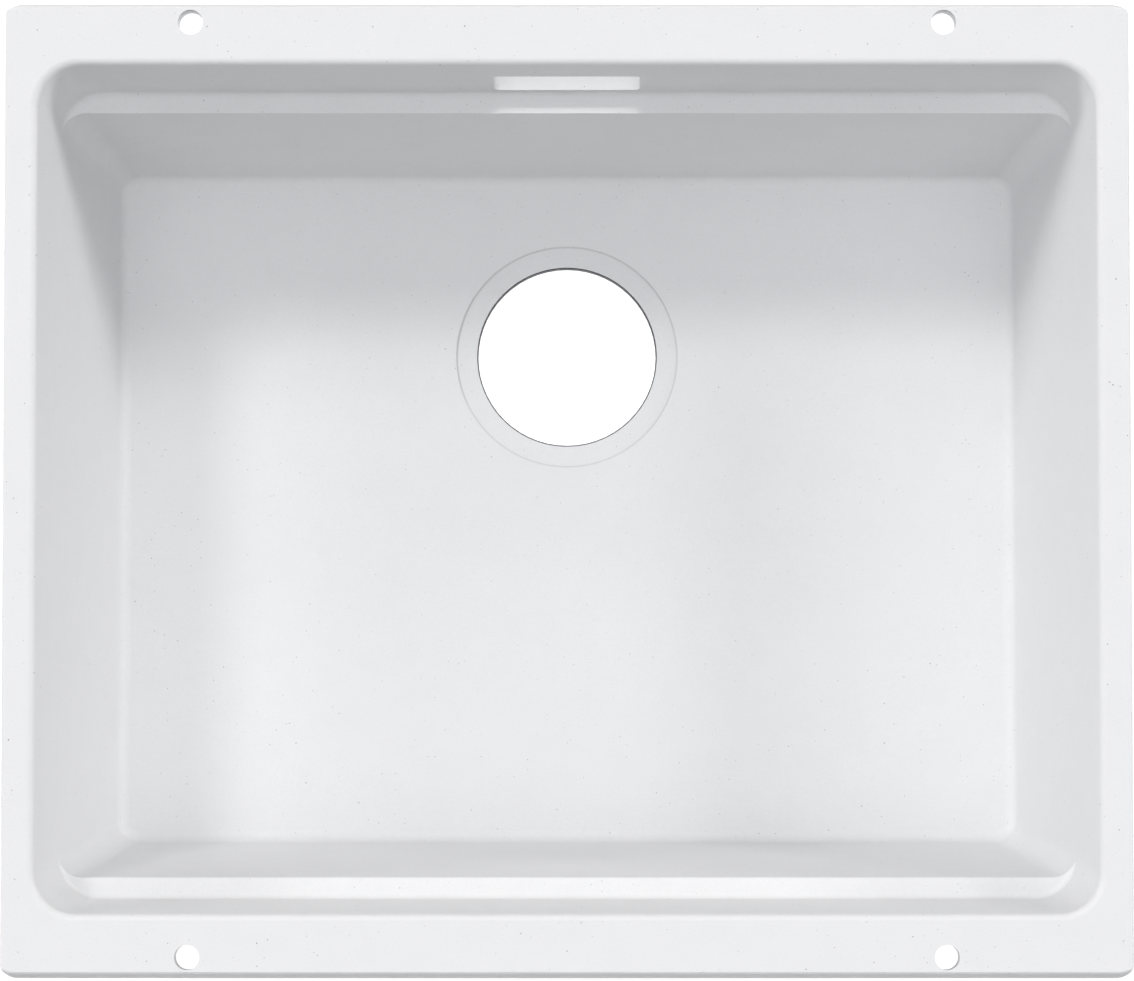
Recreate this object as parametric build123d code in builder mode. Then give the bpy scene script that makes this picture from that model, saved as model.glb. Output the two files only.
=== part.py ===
from build123d import *
import os
from math import atan, cos, degrees, hypot, radians, tan

os.makedirs("parts", exist_ok=True)

# An undermount kitchen sink: one moulded bowl of white stone composite, with the
# metal sleeves and threaded inserts that are moulded into its hidden side.
# Frame: the origin is the middle of the rim's top face, which seals against the
# underside of the worktop. +X is to the right, +Y to the rear, +Z up. Millimetres.

# ---- Driving dimensions --------------------------------------------------------

# Bowl
opening_length = 500.0           # left to right, at the rim's top
opening_width = 400.0            # front to rear, at the rim's top
opening_corner_radius = 20.0
opening_edge_radius = 3.5
bowl_depth = 190.0               # rim's top to the floor at the drain
side_draft = 7.4                 # degrees from upright, left and right walls
end_draft = 6.7                  # degrees from upright, front and rear walls
lower_corner_radius = 11.0       # below the ledges
floor_edge_radius = 6.0
floor_fall = 2.8                 # from the farthest corner down to the drain
wall_thickness = 8.0
floor_thickness = 10.0

# Rim
side_rim_width = 15.0            # from the opening to the left and right edges
end_rim_width = 30.0             # from the opening to the front and rear edges
rim_thickness = 12.0
rim_corner_radius = 7.0
rim_edge_chamfer = 0.6
rim_edge_lean = 2.7              # front and rear edges lean in by this much at the top
lean_corner_radius = 17.0        # the leaning faces wrap round the corners with this
lean_corner_start = 7.6          # and leave their straight line this far from the ends

# Ledges along the front and rear walls, for trays and boards that hang in the bowl
ledge_depth = 54.0               # below the rim's top
ledge_width = 10.0
ledge_root_radius = 3.0          # between the upper wall and the ledge
ledge_edge_radius = 2.0          # between the ledge and the lower wall

# Outer side
outer_edge_radius = 13.0         # round the bottom
outer_ledge_chamfer = 4.0        # outside of the step below each ledge
outer_step_radius = 4.0          # inside corner of that step
rim_root_chamfer = 3.0           # between the rim's underside and the walls

# Drain
drain_diameter = 90.0
drain_from_centre = 77.0         # towards the rear
drain_seat_width = 11.0
drain_seat_depth = 1.2
drain_edge_chamfer = 0.3
drain_lower_chamfer = 1.0

# Overflow slot through the rear wall, and the flat pad round it on the outside
slot_length = 70.0
slot_height = 25.5
slot_above_ledge = 5.5
slot_corner_radius = 3.0
pad_margin_above = 6.0
pad_margin_below = 4.5
pad_beyond_insert = 12.0
pad_corner_radius = 8.0
pad_rise = 3.0                   # off the wall at the pad's upper edge

# Threaded inserts in that pad
insert_from_slot = 14.0
insert_thread_core = 4.2
insert_wall = 1.4
insert_length = 7.5
insert_end_thickness = 1.0

# Fixing holes through the rim, with a six-sided sleeve in each
hole_diameter = 11.8
hole_from_side_edge = 87.25
hole_from_end_edge = 10.0
sleeve_cover = 4.0               # from the rim's top down to the sleeve
sleeve_wall = 1.0                # between the hole and each flat
sleeve_collar_width = 1.0        # beyond the sleeve's flats
sleeve_collar_thickness = 1.2

# ---- Derived sizes -------------------------------------------------------------

rim_length = opening_length + 2 * side_rim_width
rim_width = opening_width + 2 * end_rim_width
rim_lean = degrees(atan(rim_edge_lean / rim_thickness))
lower_width = opening_width - 2 * ledge_width
total_depth = bowl_depth + floor_thickness
step_depth = ledge_depth + wall_thickness
outer_length = opening_length + 2 * wall_thickness / cos(radians(side_draft))
outer_width = opening_width + 2 * wall_thickness / cos(radians(end_draft))
outer_lower_width = outer_width - 2 * ledge_width

seat_depth = bowl_depth + drain_seat_depth
seat_radius = drain_diameter / 2 + drain_seat_width
floor_reach = hypot(opening_length / 2, lower_width / 2 + drain_from_centre)
floor_dish_radius = floor_reach**2 / (2 * floor_fall)

slot_middle = ledge_depth - slot_above_ledge - slot_height / 2
pad_top = slot_middle - slot_height / 2 - pad_margin_above
pad_height = pad_margin_above + slot_height + pad_margin_below
pad_length = slot_length + 2 * (insert_from_slot + pad_beyond_insert)
pad_face = outer_width / 2 - pad_top * tan(radians(end_draft)) + pad_rise
insert_radius = insert_thread_core / 2 + insert_wall
insert_x = slot_length / 2 + insert_from_slot
insert_places = {"left": -insert_x, "right": insert_x}

sleeve_to_flat = hole_diameter / 2 + sleeve_wall
sleeve_length = rim_thickness - sleeve_cover
hole_x = rim_length / 2 - hole_from_side_edge
hole_y = rim_width / 2 - hole_from_end_edge
hole_places = {
    "rear_left": (-hole_x, hole_y),
    "rear_right": (hole_x, hole_y),
    "front_left": (-hole_x, -hole_y),
    "front_right": (hole_x, -hole_y),
}


# ---- Forms that the bowl's inside and outside share ----------------------------

def upright_edges(builder):
    """The four corner edges of a block whose walls may lean."""
    return builder.edges().filter_by(lambda edge: abs(edge.tangent_at(0.5).Z) > 0.5)


def drafted_block(length, width, depth, corner_radius):
    """Block from the rim's top down to a depth, its walls leaning in by the drafts."""
    with BuildPart() as block:
        with BuildSketch():
            Rectangle(length, width)
        extrude(amount=-depth)
        draft(block.faces().filter_by(Axis.X), neutral_plane=Plane.XY, angle=-side_draft)
        draft(block.faces().filter_by(Axis.Y), neutral_plane=Plane.XY, angle=-end_draft)
        fillet(upright_edges(block), radius=corner_radius)
    return block.part


def step_blend(stem, shelf, radius):
    """Fillet between a block's walls and the flat face that is level above them.

    It reaches only as far as that face does, so it runs out where the step narrows
    to nothing against the side walls.
    """
    level = shelf.center().Z
    with BuildPart() as blend:
        add(split(stem, bisect_by=Plane.XY.offset(level), keep=Keep.BOTTOM))
        with BuildSketch(Plane.XY.offset(level)):
            Rectangle(rim_length, rim_width)
        extrude(amount=radius)
        underside = blend.faces().filter_by(Axis.Z).sort_by(Axis.Z)[-2]
        fillet(underside.inner_wires()[0].edges(), radius=radius)
        extrude(to_extrude=shelf, amount=-radius, mode=Mode.INTERSECT)
    return blend.part


# ---- Inside of the bowl, as a solid --------------------------------------------

with BuildPart() as upper_space:
    add(drafted_block(opening_length, opening_width, ledge_depth, opening_corner_radius))
    fillet(upper_space.faces().sort_by(Axis.Z)[0].edges(), radius=ledge_root_radius)
ledge_flat = upper_space.faces().sort_by(Axis.Z)[0]

with BuildPart() as lower_space:
    add(drafted_block(opening_length, lower_width, total_depth, lower_corner_radius))
    # The floor is dished a little, so that it falls to the drain from all sides.
    with Locations((0, drain_from_centre, floor_dish_radius - bowl_depth)):
        Sphere(floor_dish_radius, rotation=(0, -90, 0), mode=Mode.INTERSECT)
    floor_face = lower_space.faces().sort_by(Axis.Z)[0]
    fillet(floor_face.outer_wire().edges(), radius=floor_edge_radius)


# ---- Outside of the bowl, as solids --------------------------------------------

with BuildPart() as outer_upper:
    add(drafted_block(outer_length, outer_width, step_depth, opening_corner_radius + wall_thickness))
    chamfer(outer_upper.faces().sort_by(Axis.Z)[0].edges(), length=outer_ledge_chamfer)
outer_step_flat = outer_upper.faces().sort_by(Axis.Z)[0]

with BuildPart() as outer_lower:
    add(drafted_block(outer_length, outer_lower_width, total_depth, lower_corner_radius + wall_thickness))
    fillet(outer_lower.faces().sort_by(Axis.Z)[0].edges(), radius=outer_edge_radius)

# The rim's front and rear edges lean in towards the top. This block has only that
# lean and its wide corners: its ends stand clear of the rim's own.
with BuildPart() as rim_lean_block:
    with BuildSketch(Plane.XY.offset(-rim_thickness)):
        Rectangle(rim_length + 2 * (lean_corner_radius - lean_corner_start), rim_width)
    extrude(amount=rim_thickness)
    draft(
        rim_lean_block.faces().filter_by(Axis.Y),
        neutral_plane=Plane.XY.offset(-rim_thickness),
        angle=rim_lean,
    )
    fillet(upright_edges(rim_lean_block), radius=lean_corner_radius)


# ---- Metal pieces moulded into the composite -----------------------------------

def sleeve_body(place):
    """Outer form of one fixing sleeve, whose six sides keep it from turning.

    Its collar is flush with the rim's underside and keeps it from being pulled through.
    """
    with BuildPart() as body:
        with BuildSketch(Plane.XY.offset(-rim_thickness)):
            with Locations(place):
                RegularPolygon(sleeve_to_flat, 6, major_radius=False)
        extrude(amount=sleeve_length)
        with BuildSketch(Plane.XY.offset(-rim_thickness)):
            with Locations(place):
                RegularPolygon(sleeve_to_flat + sleeve_collar_width, 6, major_radius=False)
        extrude(amount=sleeve_collar_thickness)
    return body.part


def insert_mouth(place):
    """Plane of one insert's open end, looking into the wall."""
    return Plane(origin=(place, pad_face, -slot_middle), z_dir=(0, -1, 0))


def insert_body(place):
    """Outer form of one threaded insert."""
    with BuildPart() as body:
        with BuildSketch(insert_mouth(place)):
            Circle(insert_radius)
        extrude(amount=insert_length)
    return body.part


# ---- Basin ---------------------------------------------------------------------

with BuildPart() as basin:
    # Rim and the outer side of the walls and floor
    with BuildSketch(Plane.XY.offset(-rim_thickness)):
        RectangleRounded(rim_length, rim_width, rim_corner_radius)
    extrude(amount=rim_thickness)
    add(rim_lean_block.part, mode=Mode.INTERSECT)
    add(outer_upper.part)
    add(outer_lower.part)
    add(step_blend(outer_lower.part, outer_step_flat, outer_step_radius))
    rim_underside = basin.faces().filter_by(Axis.Z).sort_by(Axis.Z)[-2]
    chamfer(rim_underside.inner_wires()[0].edges(), length=rim_root_chamfer)

    # Flat pad that an overflow housing seals against, on the outside of the rear wall
    with BuildSketch(Plane.XZ.offset(-pad_face)):
        with Locations((0, -pad_top - pad_height / 2)):
            RectangleRounded(pad_length, pad_height, pad_corner_radius)
    extrude(amount=pad_face - lower_width / 2)

    # Inside of the bowl
    add(upper_space.part, mode=Mode.SUBTRACT)
    add(lower_space.part, mode=Mode.SUBTRACT)
    add(step_blend(lower_space.part, ledge_flat, ledge_edge_radius), mode=Mode.SUBTRACT)
    rim_top = basin.faces().sort_by(Axis.Z)[-1]
    fillet(rim_top.inner_wires()[0].edges(), radius=opening_edge_radius)
    rim_top = basin.faces().sort_by(Axis.Z)[-1]
    chamfer(rim_top.outer_wire().edges(), length=rim_edge_chamfer)

    # Drain hole in its shallow round seat
    with BuildSketch(Plane.XY.offset(-seat_depth)):
        with Locations((0, drain_from_centre)):
            Circle(seat_radius)
    extrude(amount=2 * drain_seat_depth, mode=Mode.SUBTRACT)
    with Locations((0, drain_from_centre, -seat_depth)):
        Hole(drain_diameter / 2)
    drain_wall = basin.faces(Select.LAST).filter_by(GeomType.CYLINDER)[0]
    drain_edges = drain_wall.edges().filter_by(GeomType.CIRCLE).sort_by(Axis.Z)
    chamfer(drain_edges[-1], length=drain_edge_chamfer)
    drain_edges = basin.faces().sort_by(Axis.Z)[0].inner_wires()[0].edges()
    chamfer(drain_edges, length=drain_lower_chamfer)

    # Overflow slot
    with BuildSketch(Plane.XZ.offset(-pad_face)):
        with Locations((0, -slot_middle)):
            RectangleRounded(slot_length, slot_height, slot_corner_radius)
    extrude(amount=pad_face - lower_width / 2, mode=Mode.SUBTRACT)

    # Seats of the moulded-in metal, and the fixing holes above their sleeves
    for place in hole_places.values():
        add(sleeve_body(place), mode=Mode.SUBTRACT)
        with Locations((*place, 0)):
            Hole(hole_diameter / 2)
    for place in insert_places.values():
        add(insert_body(place), mode=Mode.SUBTRACT)

basin.part.label = "basin"
export_step(basin.part, "parts/basin.step")


# ---- Fixing sleeves ------------------------------------------------------------

for corner, place in hole_places.items():
    with BuildPart() as fixing_sleeve:
        add(sleeve_body(place))
        with Locations((*place, 0)):
            Hole(hole_diameter / 2)

    fixing_sleeve.part.label = "fixing_sleeve_" + corner
    export_step(fixing_sleeve.part, "parts/fixing_sleeve_" + corner + ".step")


# ---- Overflow inserts ----------------------------------------------------------

for side, place in insert_places.items():
    with BuildPart() as overflow_insert:
        add(insert_body(place))
        with BuildSketch(insert_mouth(place)):
            Circle(insert_thread_core / 2)
        extrude(amount=insert_length - insert_end_thickness, mode=Mode.SUBTRACT)

    overflow_insert.part.label = "overflow_insert_" + side
    export_step(overflow_insert.part, "parts/overflow_insert_" + side + ".step")
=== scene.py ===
import math

import bmesh
import bpy
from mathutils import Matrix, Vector


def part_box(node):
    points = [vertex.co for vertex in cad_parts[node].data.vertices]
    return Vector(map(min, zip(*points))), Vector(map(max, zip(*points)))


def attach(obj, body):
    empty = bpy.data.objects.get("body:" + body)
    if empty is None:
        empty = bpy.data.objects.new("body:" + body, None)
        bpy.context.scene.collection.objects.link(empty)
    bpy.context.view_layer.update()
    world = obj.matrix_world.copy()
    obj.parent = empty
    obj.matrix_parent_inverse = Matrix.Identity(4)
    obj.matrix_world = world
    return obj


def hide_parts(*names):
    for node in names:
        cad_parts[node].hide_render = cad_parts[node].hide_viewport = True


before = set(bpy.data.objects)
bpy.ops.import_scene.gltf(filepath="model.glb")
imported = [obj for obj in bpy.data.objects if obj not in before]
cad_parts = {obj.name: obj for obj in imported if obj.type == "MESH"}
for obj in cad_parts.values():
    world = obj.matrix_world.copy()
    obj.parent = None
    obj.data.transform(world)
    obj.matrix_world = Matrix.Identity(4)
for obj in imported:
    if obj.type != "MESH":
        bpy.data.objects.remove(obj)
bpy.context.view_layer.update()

MM = 0.001

# ---- Places that the CAD gives ----------------------------------------------------

BASIN_LOW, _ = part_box("basin")
FLOOR_LEVEL = BASIN_LOW.z          # the bowl stands on its base
OPENING = (0.250, 0.200)           # half length and half width at the rim's top
SIDE_SLOPE = math.tan(math.radians(7.4))
END_SLOPE = math.tan(math.radians(6.7))
DRAIN_Y, DRAIN_RADIUS, SEAT_RADIUS = 0.077, 0.045, 0.056
SEAT_LEVEL = -191.2 * MM
HOLE, HOLE_RADIUS = (0.17775, 0.220), 0.0059
SLEEVES = [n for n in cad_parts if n.startswith("fixing_sleeve")]
INSERTS = [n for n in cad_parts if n.startswith("overflow_insert")]

# ---- Colours ----------------------------------------------------------------------

WHITE = (1, 1, 1, 1)
RESIN = ((0.774, 0.779, 0.788, 1), (0.806, 0.810, 0.817, 1))
DARK_GRAIN = (0.12, 0.12, 0.13, 1)
DRILLED = ((0.70, 0.70, 0.71, 1), (0.79, 0.79, 0.80, 1))
# Painted shade for the drain's wall and, darkest, its upper edge
DRAIN_WALL_SHADE = ((0.14, 0.14, 0.15, 1), (0.22, 0.22, 0.23, 1))
DRAIN_EDGE_SHADE = (0.07, 0.07, 0.08, 1)
# Painted shade for the corner of the drain's seat
SEAT_CORNER_SHADE = (0.30, 0.30, 0.31, 1)
BRIGHT_ALUMINIUM, DULL_ALUMINIUM = (0.80, 0.81, 0.82, 1), (0.62, 0.63, 0.65, 1)
BRIGHT_BRASS, DULL_BRASS = (0.80, 0.62, 0.33, 1), (0.60, 0.43, 0.20, 1)
FLOOR_MATT, FLOOR_FAINT = (0.78, 0.78, 0.78, 1), (0.34, 0.34, 0.34, 1)
SKY = (0.972, 0.979, 1.0, 1)


# ---- Node helpers -----------------------------------------------------------------

class Nodes:
    """The node tree of a material or the world, with one short call for each node."""

    def __init__(self, owner):
        self.owner = owner
        owner.use_nodes = True
        self.tree = owner.node_tree
        self.tree.nodes.clear()

    def add(self, kind, settings=None, **inputs):
        node = self.tree.nodes.new(kind)
        for key, value in (settings or {}).items():
            setattr(node, key, value)
        for key, value in inputs.items():
            self.set(node.inputs[key.replace("_", " ")], value)
        return node

    def set(self, socket, value):
        if isinstance(value, bpy.types.NodeSocket):
            self.tree.links.new(value, socket)
        else:
            socket.default_value = value

    def math(self, operation, *values, clamp=False):
        node = self.tree.nodes.new("ShaderNodeMath")
        node.operation = operation
        node.use_clamp = clamp
        for socket, value in zip(node.inputs, values):
            self.set(socket, value)
        return node.outputs[0]

    def noise(self, vector, scale, detail=2.0, roughness=0.5):
        node = self.add("ShaderNodeTexNoise", Vector=vector, Scale=scale,
                        Detail=detail, Roughness=roughness)
        return node.outputs["Fac"]

    def cells(self, vector, scale):
        """Distance from the nearest cell's middle, and that cell's random colour, split up."""
        node = self.add("ShaderNodeTexVoronoi", {"feature": "F1"}, Vector=vector,
                        Scale=scale, Randomness=1.0)
        own = self.add("ShaderNodeSeparateColor", Color=node.outputs["Color"])
        return node.outputs["Distance"], own.outputs

    def distance(self, a, b):
        squares = [self.math("POWER", value, 2.0) for value in (a, b)]
        return self.math("SQRT", self.math("ADD", *squares))

    def ramp(self, value, low, high, from_low=0.0, from_high=1.0, smooth=True):
        """value, from_low..from_high, to low..high."""
        node = self.tree.nodes.new("ShaderNodeMapRange")
        node.interpolation_type = "SMOOTHSTEP" if smooth else "LINEAR"
        for key, item in (("Value", value), ("From Min", from_low), ("From Max", from_high),
                          ("To Min", low), ("To Max", high)):
            self.set(node.inputs[key], item)
        return node.outputs["Result"]

    def mix(self, share, a, b):
        node = self.tree.nodes.new("ShaderNodeMix")
        node.data_type = "RGBA"
        self.set(node.inputs[0], share)
        self.set(node.inputs[6], a)
        self.set(node.inputs[7], b)
        return node.outputs[2]

    def mix_shaders(self, share, a, b):
        node = self.add("ShaderNodeMixShader", Fac=share)
        self.set(node.inputs[1], a.outputs[0])
        self.set(node.inputs[2], b.outputs[0])
        return node.outputs[0]

    def bump(self, height, distance, strength, normal=None):
        node = self.tree.nodes.new("ShaderNodeBump")
        self.set(node.inputs["Strength"], strength)
        self.set(node.inputs["Distance"], distance)
        self.set(node.inputs["Height"], height)
        if normal is not None:
            self.set(node.inputs["Normal"], normal)
        return node.outputs["Normal"]

    def eye_and_mirror(self):
        """Share of rays that come from the camera, and of those mirrored or passed through."""
        path = self.add("ShaderNodeLightPath")
        mirrored = self.math("MAXIMUM", path.outputs["Is Glossy Ray"],
                             path.outputs["Is Transmission Ray"])
        return path.outputs["Is Camera Ray"], mirrored

    def finish(self, shader):
        kind = "World" if isinstance(self.owner, bpy.types.World) else "Material"
        out = self.tree.nodes.new("ShaderNodeOutput" + kind)
        self.tree.links.new(shader, out.inputs["Surface"])
        return self.owner


# ---- Materials --------------------------------------------------------------------

GRAINS = ((600.0, 0.08), (1500.0, 0.015))   # cells to a metre, and share of them with a grain
GRAIN_SIZE = (0.07, 0.20)                   # radius, as a share of a cell
GLINT_CELLS, GLINT_SIZE, GLINT_ABOVE = 420.0, 0.22, 0.72
SKIN_MARGIN, SKIN_BLEND = 3 * MM, 1.5 * MM  # from the inner walls out to the duller back
UNDER_RIM = (-4 * MM, -1 * MM)              # levels between which the back begins
UNDER_FLOOR = (-196 * MM, -193 * MM)        # and the underside of the floor


def composite_material():
    """White stone composite: fine grains, sparse dark specks, a satin face, a duller back and
    painted shade round the drain.
    """
    n = Nodes(bpy.data.materials.new("white_composite"))
    place = n.add("ShaderNodeTexCoord").outputs["Object"]
    split = n.add("ShaderNodeSeparateXYZ", Vector=place)
    x = n.math("ABSOLUTE", split.outputs["X"])
    y = n.math("ABSOLUTE", split.outputs["Y"])
    z = split.outputs["Z"]

    # The back is whatever lies outside the bowl's inner walls and below the rim's top,
    # and the underside of its floor.
    side_wall = n.math("MULTIPLY_ADD", z, SIDE_SLOPE, OPENING[0] + SKIN_MARGIN)
    end_wall = n.math("MULTIPLY_ADD", z, END_SLOPE, OPENING[1] + SKIN_MARGIN)
    beyond = n.math("MAXIMUM", n.math("SUBTRACT", x, side_wall), n.math("SUBTRACT", y, end_wall))
    outside = n.ramp(beyond, 0.0, 1.0, 0.0, SKIN_BLEND)
    below_rim = n.ramp(z, 1.0, 0.0, *UNDER_RIM)
    below_floor = n.ramp(z, 1.0, 0.0, *UNDER_FLOOR)
    back = n.math("MAXIMUM", n.math("MULTIPLY", outside, below_rim), below_floor)

    # A fine mottle of slightly darker and lighter grains in the resin
    grain = n.noise(place, 1100.0, 2.0, 0.6)
    cloud = n.noise(place, 60.0, 3.0, 0.55)
    tone = n.math("ADD", n.math("MULTIPLY", grain, 0.7), n.math("MULTIPLY", cloud, 0.3))
    colour = n.mix(n.ramp(tone, 0.0, 1.0, 0.3, 0.7), *RESIN)

    # Dark grains, coarse and fine: one in some of the cells, each of its own size and depth
    for scale, share in GRAINS:
        from_middle, own = n.cells(place, scale)
        picked = n.math("LESS_THAN", own["Red"], share)
        size = n.ramp(own["Green"], *GRAIN_SIZE, smooth=False)
        speck = n.math("MULTIPLY", picked, n.math("LESS_THAN", from_middle, size))
        depth = n.math("MULTIPLY_ADD", n.math("POWER", own["Blue"], 3.0), 0.6, 0.3)
        colour = n.mix(n.math("MULTIPLY", speck, depth), colour, DARK_GRAIN)

    # The cut walls of the fixing holes lack the white moulded skin. The drain's wall is painted
    # dark grey as shade, how dark a guess from the thin line round the drain; the darkest painted
    # shade runs along its upper edge and a thin ring of the seat.
    from_drain = n.distance(split.outputs["X"], n.math("SUBTRACT", split.outputs["Y"], DRAIN_Y))
    drain_painted_shade = n.math("MULTIPLY", n.math("LESS_THAN", from_drain, DRAIN_RADIUS + 0.5 * MM),
                       n.math("LESS_THAN", z, SEAT_LEVEL + 0.05 * MM))
    from_hole = n.distance(n.math("SUBTRACT", x, HOLE[0]), n.math("SUBTRACT", y, HOLE[1]))
    hole_cut = n.math("MULTIPLY", n.math("LESS_THAN", from_hole, HOLE_RADIUS + 0.1 * MM),
                      n.math("LESS_THAN", z, -0.3 * MM))
    mottle = n.ramp(grain, 0.0, 1.0, 0.35, 0.65)
    colour = n.mix(hole_cut, colour, n.mix(mottle, *DRILLED))
    upper_edge = n.math("GREATER_THAN", z, SEAT_LEVEL - 0.4 * MM)
    # Painted shade: the drain's wall dark, darkest along its upper edge and the seat's rim
    colour = n.mix(drain_painted_shade, colour, n.mix(upper_edge, n.mix(mottle, *DRAIN_WALL_SHADE), DRAIN_EDGE_SHADE))

    # Painted shade darkens the corner of the drain's seat, on the floor's upper side only.
    off_corner = n.math("ABSOLUTE", n.math("SUBTRACT", from_drain, SEAT_RADIUS - 0.3 * MM))
    in_floor = n.math("COMPARE", z, -190.5 * MM, 2 * MM)
    painted_seat_shade = n.math("MULTIPLY", n.ramp(off_corner, 0.24, 0.0, 0.1 * MM, 0.7 * MM), in_floor)
    colour = n.mix(painted_seat_shade, colour, SEAT_CORNER_SHADE)

    # Some grains catch the light: they are smoother than the face round them.
    from_middle, own = n.cells(place, GLINT_CELLS)
    glint = n.math("MULTIPLY", n.math("LESS_THAN", from_middle, GLINT_SIZE),
                   n.math("GREATER_THAN", own["Blue"], GLINT_ABOVE))
    face_rough = n.ramp(n.noise(place, 240.0, 3.0), 0.40, 0.52)
    roughness = n.math("ADD", face_rough, n.math("MULTIPLY", back, 0.22))
    roughness = n.math("SUBTRACT", roughness, n.math("MULTIPLY", glint, 0.12), clamp=True)

    # The face is finely pebbled; the back shows a coarser skin from the mould.
    fine = n.bump(n.noise(place, 1900.0, 3.0, 0.6), 0.02 * MM, 0.5)
    skin = n.math("MULTIPLY", n.noise(place, 520.0, 4.0, 0.6), back)
    coarse = n.bump(skin, 0.10 * MM, 0.7, fine)

    shader = n.add("ShaderNodeBsdfPrincipled", Base_Color=colour, Roughness=roughness,
                   Normal=coarse)
    shader.inputs["Specular IOR Level"].default_value = 0.42
    shader.inputs["IOR"].default_value = 1.50
    return n.finish(shader.outputs[0])


def turned_metal(name, colour, dull, axis, roughness, bore=None):
    """Turned metal, with fine rings round the piece's own axis and a little dulling.

    A bore colour is for the walls of the fixing holes.
    """
    n = Nodes(bpy.data.materials.new(name))
    coords = n.add("ShaderNodeTexCoord")
    centred = n.add("ShaderNodeVectorMath", {"operation": "SUBTRACT"})
    n.set(centred.inputs[0], coords.outputs["Generated"])
    n.set(centred.inputs[1], (0.5, 0.5, 0.5))
    split = n.add("ShaderNodeSeparateXYZ", Vector=centred.outputs[0])
    radius = n.distance(*[split.outputs[k] for k in "XYZ" if k != axis])
    outward = n.math("ADD", radius, n.math("MULTIPLY", split.outputs[axis], 0.6))
    rings = n.math("SINE", n.math("MULTIPLY", outward, 260.0))
    waver = n.noise(coords.outputs["Object"], 900.0, 3.0)
    stain = n.noise(coords.outputs["Object"], 260.0, 4.0)
    base = n.mix(n.ramp(stain, 0.0, 1.0, 0.35, 0.75), colour, dull)
    if bore:
        place = n.add("ShaderNodeSeparateXYZ", Vector=coords.outputs["Object"])
        off_axis = n.distance(
            n.math("SUBTRACT", n.math("ABSOLUTE", place.outputs["X"]), HOLE[0]),
            n.math("SUBTRACT", n.math("ABSOLUTE", place.outputs["Y"]), HOLE[1]))
        base = n.mix(n.math("LESS_THAN", off_axis, HOLE_RADIUS + 0.1 * MM), base, bore)
    rough = n.ramp(waver, roughness - 0.06, roughness + 0.08)
    normal = n.bump(n.math("ADD", rings, waver), 0.012 * MM, 0.5)
    shader = n.add("ShaderNodeBsdfPrincipled", Base_Color=base, Roughness=rough, Normal=normal)
    shader.inputs["Metallic"].default_value = 1.0
    return n.finish(shader.outputs[0])


def set_material(piece, material):
    piece.data.materials.clear()
    piece.data.materials.append(material)


composite = composite_material()
aluminium = turned_metal("turned_aluminium", BRIGHT_ALUMINIUM, DULL_ALUMINIUM, "Z", 0.34,
                         bore=DULL_ALUMINIUM)
brass = turned_metal("turned_brass", BRIGHT_BRASS, DULL_BRASS, "Y", 0.28)

set_material(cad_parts["basin"], composite)
for name in SLEEVES:
    set_material(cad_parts[name], aluminium)


# ---- Threaded inserts: the CAD's plain bores, with their M5 threads and knurling ----

THREAD_CORE, THREAD_GROOVE, THREAD_PITCH = 2.1 * MM, 0.38 * MM, 0.8 * MM
FLANK, CREST = 2.6, 0.35            # the groove's steepness, and what a flat crest takes off it
END_WALL = 1.0 * MM                 # behind the bore
COUNTERSINK = 0.75 * MM
KNURL_DEPTH, KNURL_FROM_END = 0.14 * MM, 1.1 * MM
KNURL_RING = 1.2 * MM               # from each end to the knurling's first ring of points
KNURL_EVERY = 3                     # one point in three is pressed in
INSERT_EDGE = 0.25 * MM
AROUND, PER_TURN = 96, 8            # points round a ring, and rings to a turn of the thread


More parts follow.
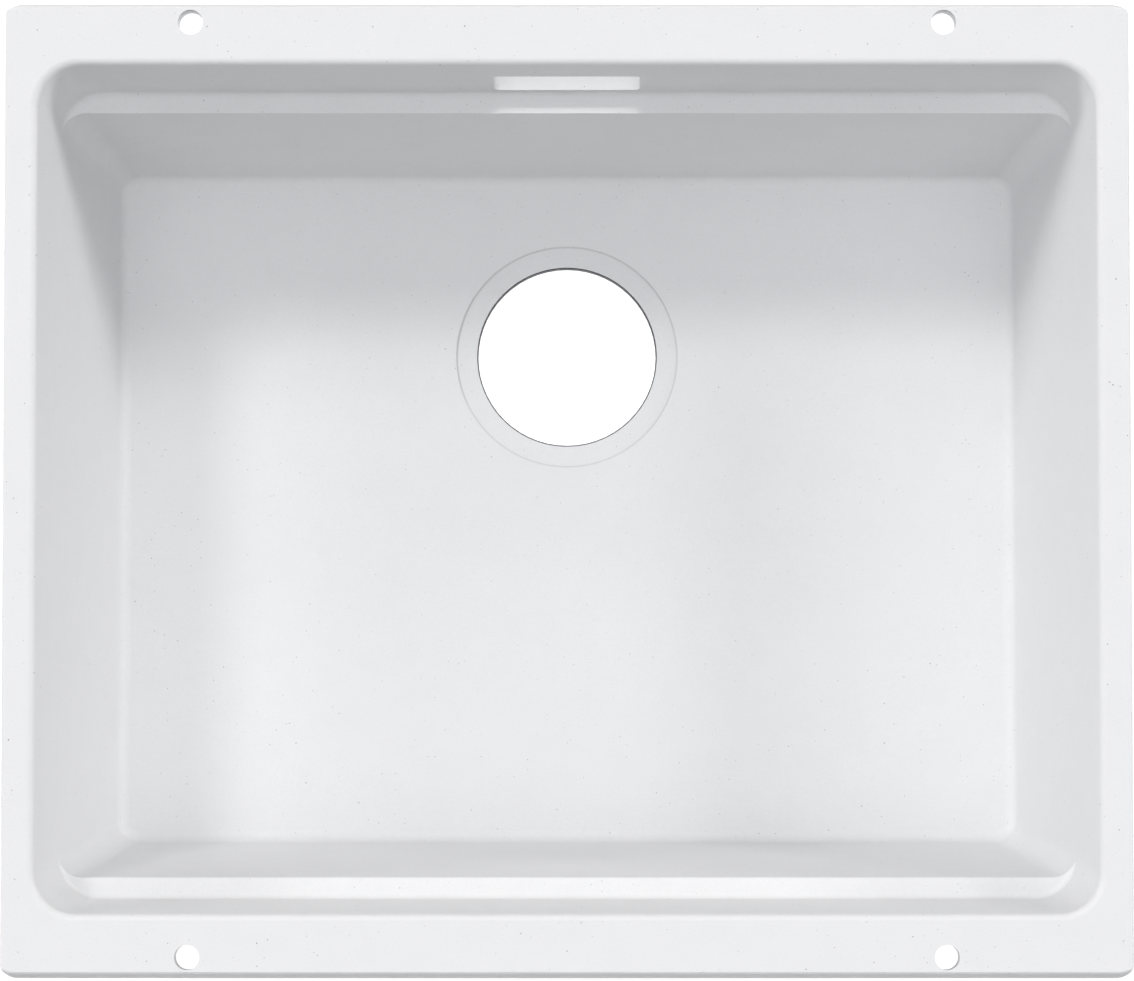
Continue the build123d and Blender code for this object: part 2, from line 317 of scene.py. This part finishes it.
def threaded_insert(node):
    """Blind insert with a cut thread, a countersunk mouth and a knurled outside."""
    low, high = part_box(node)
    centre_x, centre_z = (low.x + high.x) / 2, (low.z + high.z) / 2
    outer, length = (high.x - low.x) / 2, high.y - low.y
    bottom = length - END_WALL

    def thread_radius(turn, depth):
        phase = (depth / THREAD_PITCH + turn) % 1.0
        cut = min(max(FLANK * (0.5 - abs(phase - 0.5)) - CREST, 0.0), 1.0)
        return max(THREAD_CORE + THREAD_GROOVE * cut, THREAD_CORE + COUNTERSINK - depth)

    def knurl_radius(k, depth):
        grip = KNURL_FROM_END < depth < length - KNURL_FROM_END
        return outer - (KNURL_DEPTH if grip and k % KNURL_EVERY == 0 else 0.0)

    # Rings of points, each at its depth below the mouth: from the blind end along the
    # outside to the mouth, then down the bore
    rings = [[(0.5 * outer, length)] * AROUND]
    for depth in (length, length - INSERT_EDGE, length - KNURL_RING, KNURL_RING, INSERT_EDGE, 0.0):
        edge = INSERT_EDGE if depth in (0.0, length) else 0.0
        rings.append([(knurl_radius(k, depth) - edge, depth) for k in range(AROUND)])
    steps = round(bottom / THREAD_PITCH * PER_TURN)
    for i in range(steps + 1):
        depth = bottom * i / steps
        rings.append([(thread_radius(k / AROUND, depth), depth) for k in range(AROUND)])

    verts, faces = [], []
    for ring in rings:
        for k, (radius, depth) in enumerate(ring):
            turn = 2 * math.pi * k / AROUND
            verts.append((centre_x + radius * math.cos(turn), high.y - depth,
                          centre_z + radius * math.sin(turn)))
    for i in range(len(rings) - 1):
        for k in range(AROUND):
            a, b = i * AROUND + k, i * AROUND + (k + 1) % AROUND
            faces.append((a, b, b + AROUND, a + AROUND))
    faces.append(tuple(range(AROUND)))
    faces.append(tuple(reversed(range((len(rings) - 1) * AROUND, len(rings) * AROUND))))
    mesh = bpy.data.meshes.new(node + "_threaded")
    mesh.from_pydata(verts, [], faces)
    work = bmesh.new()
    work.from_mesh(mesh)
    bmesh.ops.recalc_face_normals(work, faces=work.faces)
    work.to_mesh(mesh)
    work.free()
    mesh.update()
    piece = bpy.data.objects.new(node + "_threaded", mesh)
    bpy.context.scene.collection.objects.link(piece)
    set_material(piece, brass)
    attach(piece, "root")
    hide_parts(node)


for name in INSERTS:
    threaded_insert(name)


# ---- Floor and light --------------------------------------------------------------

FLOOR_SIZE, FLOOR_GAP = 60.0, 0.2 * MM      # the gap keeps the floor and the base apart
WHITE_DISC = (70 * MM, 100 * MM)            # the floor's pure white under the drain ends here


def floor_material():
    """Pale floor, white to the eye, with a soft shadow round the bowl but none under the drain."""
    n = Nodes(bpy.data.materials.new("pale_floor"))
    eye, mirrored = n.eye_and_mirror()
    seen = n.math("MAXIMUM", eye, n.math("MULTIPLY", mirrored, 0.5))
    matt = n.add("ShaderNodeBsdfDiffuse", Color=FLOOR_MATT)
    faint = n.add("ShaderNodeBsdfDiffuse", Color=FLOOR_FAINT)
    position = n.add("ShaderNodeNewGeometry").outputs["Position"]
    place = n.add("ShaderNodeSeparateXYZ", Vector=position)
    from_drain = n.distance(place.outputs["X"], n.math("SUBTRACT", place.outputs["Y"], DRAIN_Y))
    glow = n.add("ShaderNodeEmission", Color=WHITE,
                 Strength=n.ramp(from_drain, 1.0, 0.80, *WHITE_DISC))
    both = n.add("ShaderNodeAddShader")
    n.set(both.inputs[0], faint.outputs[0])
    n.set(both.inputs[1], glow.outputs[0])
    return n.finish(n.mix_shaders(seen, matt, both))


bpy.ops.mesh.primitive_plane_add(size=FLOOR_SIZE, location=(0, 0, FLOOR_LEVEL - FLOOR_GAP))
floor = bpy.context.object
floor.name = "floor"
set_material(floor, floor_material())

WALLS = (1.16, 0.69)        # radiance to the left and right
OVERHEAD = (1.13, 2.43)     # radiance of a wide and a narrow disc
LEAN = 0.07                 # how far the discs lean to the front


def studio():
    """Soft light from a wide and a narrow disc overhead and pale walls; white to the eye."""
    n = Nodes(bpy.data.worlds.new("soft_studio"))
    direction = n.add("ShaderNodeTexCoord").outputs["Generated"]
    split = n.add("ShaderNodeSeparateXYZ", Vector=direction)
    x, z = split.outputs["X"], split.outputs["Z"]
    up = n.math("MULTIPLY_ADD", split.outputs["Y"], -LEAN, z)
    sideways = n.math("POWER", n.math("ABSOLUTE", x), 2.0)
    walls = n.math("MULTIPLY", sideways, n.ramp(x, *WALLS, -0.1, 0.1))
    wide = n.ramp(up, 0.0, OVERHEAD[0], 0.80, 0.97)
    narrow = n.ramp(up, 0.0, OVERHEAD[1], 0.94, 1.0)
    strength = n.math("ADD", walls, n.math("ADD", wide, narrow))
    light = n.add("ShaderNodeBackground", Color=SKY, Strength=strength)
    white = n.add("ShaderNodeBackground", Color=WHITE, Strength=1.0)
    eye, mirrored = n.eye_and_mirror()
    return n.finish(n.mix_shaders(n.math("MAXIMUM", eye, mirrored), light, white))


bpy.context.scene.world = studio()


def add_object(name, data, location, direction, front="Z"):
    """An object that holds a lamp or camera; its front axis points in the direction."""
    holder = bpy.data.objects.new(name, data)
    bpy.context.scene.collection.objects.link(holder)
    holder.location = location
    holder.rotation_mode = "QUATERNION"
    holder.rotation_quaternion = direction.to_track_quat(front, "Y")
    return holder


def add_lamp(name, kind, energy, colour, location, backwards):
    """A lamp that shines the opposite way to the direction backwards."""
    lamp = bpy.data.lights.new(name, kind)
    lamp.energy = energy
    lamp.color = colour
    return add_object(name, lamp, location, backwards)


# A row of soft lamps high behind the bowl: degrees along the row from its middle, degrees
# that the row rises there, and energy
ROW = ((-60.0, 53.3, 0.62), (-20.0, 61.0, 0.72), (40.0, 55.3, 0.51), (60.0, 53.1, 0.62))
ROW_COLOUR, ROW_ANGLE, ROW_DISTANCE = (1.0, 0.981, 0.962), math.radians(9.0), 3.0
for number, (along, rise, energy) in enumerate(ROW):
    along, rise = math.radians(along), math.radians(rise)
    to_lamp = Vector((math.sin(along), math.cos(along) * math.cos(rise),
                      math.cos(along) * math.sin(rise)))
    key = add_lamp(f"row_{number}", "SUN", energy, ROW_COLOUR, to_lamp * ROW_DISTANCE, to_lamp)
    key.data.angle = ROW_ANGLE

# A small soft lamp behind the overflow slot, aimed at the rear ledge
SLOT_LAMP = Vector((0.0, 0.238, -0.020))
SLOT_TARGET = Vector((0.0, 0.1865, -0.0540))
slot_lamp = add_lamp("behind_slot", "AREA", 0.0028, (1.0, 0.997, 0.990), SLOT_LAMP,
                     SLOT_LAMP - SLOT_TARGET)
slot_lamp.data.shape = "RECTANGLE"
slot_lamp.data.size, slot_lamp.data.size_y = 0.074, 0.008
slot_lamp.data.spread = math.radians(36)
slot_lamp.visible_camera = False
slot_lamp.visible_glossy = False


# ---- Camera -----------------------------------------------------------------------

CAMERA_PLACE = Vector((0.0, -0.1387, 2.4578))
CAMERA_TARGET = Vector((0.0, -0.0014, 0.0))
cam = bpy.data.cameras.new("camera")
cam.sensor_width = 36.0
cam.lens = 166.4
bpy.context.scene.camera = add_object("camera", cam, CAMERA_PLACE, CAMERA_TARGET - CAMERA_PLACE,
                                      front="-Z")

bpy.context.scene.view_settings.view_transform = "Standard"
